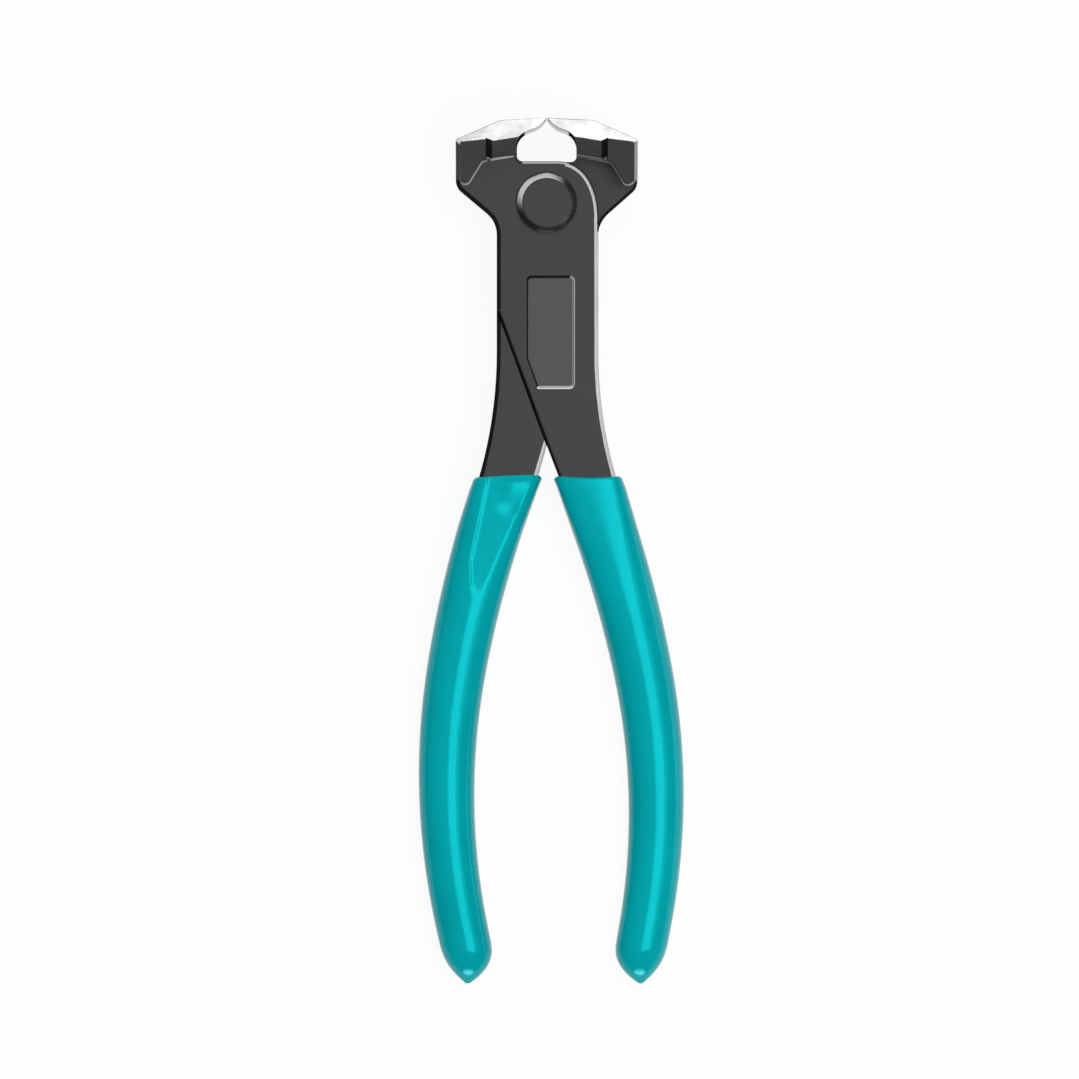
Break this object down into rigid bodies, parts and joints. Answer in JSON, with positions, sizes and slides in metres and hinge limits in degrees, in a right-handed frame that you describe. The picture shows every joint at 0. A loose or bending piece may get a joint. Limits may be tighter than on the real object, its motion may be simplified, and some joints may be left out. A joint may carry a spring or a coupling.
{
  "type": "end cutting nippers",
  "caption": "End cutting nippers: broad polished jaws that meet end-on, a riveted lap joint, and bowed handles in glossy dipped grips.",
  "frame": {"origin": "on the pivot axis, in the plane of the rear cheek's flat face", "axes": "+Y from the pivot to the cutting edges, along the tool; +Z along the rivet from the rear cheek to the front one; +X across the tool, to the right seen from the front"},
  "size_m": [0.0553, 0.18, 0.022],
  "materials": {
    "forged_steel": "satin black oxide on forged steel, with the jaws' crown and ends ground bright",
    "rivet_steel": "satin black oxide",
    "dipped_grip": "glossy dipped vinyl"
  },
  "bodies": {
    "rear_half": {"rear_lever": "forged_steel", "pivot_rivet": "rivet_steel", "left_grip": "dipped_grip"},
    "front_half": {"front_lever": "forged_steel", "right_grip": "dipped_grip"}
  },
  "joints": [
    {"name": "pivot", "type": "hinge", "parent": "rear_half", "child": "front_half", "pos_m": [0, 0, 0.00575], "axis": [0, 0, 1], "range_deg": [0, 30]}
  ]
}
